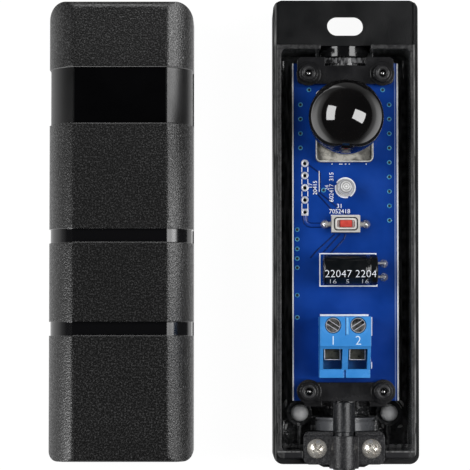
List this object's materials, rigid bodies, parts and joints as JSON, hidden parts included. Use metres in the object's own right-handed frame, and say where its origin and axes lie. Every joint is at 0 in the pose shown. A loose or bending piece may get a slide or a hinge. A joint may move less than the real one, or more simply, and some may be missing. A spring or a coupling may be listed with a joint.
{
  "type": "gate safety photocell",
  "caption": "Slim gate photocell with swivelling board, ball lens and terminals in an open black casing, and its windowed cover beside it.",
  "frame": {"origin": "centre of the casing's flat back, on the wall plane; the cover lies beside the casing on the same plane", "axes": "+X across the width, away from the cover; +Y along the length towards the wall slot, away from the cable end; +Z out of the front"},
  "size_m": [0.0766, 0.0971, 0.0285],
  "materials": {
    "casing_black": "satin moulded black",
    "gloss_black": "polished black",
    "grey_plastic": "satin light grey",
    "grommet_rubber": "finely grained black",
    "saddle_black": "grained black",
    "nickel": "nickel plated",
    "board_blue": "blue solder mask",
    "tin": "tinned",
    "tray_grey": "grey beige",
    "clear_resin": "clear resin",
    "emitter_resin": "tinted resin",
    "switch_cream": "cream",
    "button_red": "red",
    "can_aluminium": "drawn",
    "bung_rubber": "black",
    "terminal_blue": "bright blue",
    "clamp_steel": "zinc plated",
    "chip_black": "moulded resin",
    "cover_black": "finely grained black with two polished bands"
  },
  "bodies": {
    "casing": {"back_casing": "casing_black", "upper_pivot_bush": "gloss_black", "lower_pivot_bush": "grey_plastic", "fixing_plugs": "grey_plastic", "cable_grommet": "grommet_rubber", "cable_saddle": "saddle_black", "saddle_screws": "nickel"},
    "board": {"circuit_board": "board_blue", "upper_bracket": "casing_black", "lower_bracket": "casing_black", "bracket_pins": "tin", "lens_tray": "tray_grey", "lens_cup": "gloss_black", "ball_lens": "gloss_black", "ir_emitter": "emitter_resin", "emitter_leads": "tin", "indicator_led": "clear_resin", "indicator_leads": "tin", "switch_case": "switch_cream", "switch_plate": "tin", "switch_leads": "tin", "capacitor_can": "can_aluminium", "capacitor_sleeve": "gloss_black", "capacitor_bung": "bung_rubber", "capacitor_leads": "tin", "terminal_housing": "terminal_blue", "terminal_contacts": "tin", "driver_chip": "chip_black", "solder_joints": "tin"},
    "button": {"switch_button": "button_red"},
    "left_screw": {"clamp_screw_left": "clamp_steel"},
    "right_screw": {"clamp_screw_right": "clamp_steel"},
    "left_cage": {"clamp_cage_left": "clamp_steel"},
    "right_cage": {"clamp_cage_right": "clamp_steel"},
    "cover": {"front_cover": "cover_black", "beam_window": "gloss_black"}
  },
  "joints": [
    {"name": "board_swivel", "type": "hinge", "parent": "casing", "child": "board", "pos_m": [0, 0, 0.0086], "axis": [0, 1, 0], "range_deg": [-20, 20]},
    {"name": "button_press", "type": "slide", "parent": "board", "child": "button", "axis": [0, 0, -1], "range_m": [0, 0.00025], "stiffness_N_per_m": 4000},
    {"name": "left_screw_turn", "type": "hinge", "parent": "board", "child": "left_screw", "pos_m": [-0.003, -0.0195, 0.0205], "axis": [0, 0, -1], "range_deg": [0, 720]},
    {"name": "right_screw_turn", "type": "hinge", "parent": "board", "child": "right_screw", "pos_m": [0.0021, -0.0195, 0.0205], "axis": [0, 0, -1], "range_deg": [0, 720]},
    {"name": "left_cage_rise", "type": "slide", "parent": "board", "child": "left_cage", "axis": [0, 0, 1], "range_m": [0, 0.001]},
    {"name": "right_cage_rise", "type": "slide", "parent": "board", "child": "right_cage", "axis": [0, 0, 1], "range_m": [0, 0.001]},
    {"name": "cover_lift", "type": "slide", "parent": "casing", "child": "cover", "axis": [0, 0, 1], "range_m": [0, 0.04]}
  ],
  "couplings": [
    {"joint": "left_screw_turn", "follows": "left_cage_rise", "rad_per_m": 12566},
    {"joint": "right_screw_turn", "follows": "right_cage_rise", "rad_per_m": 12566}
  ]
}
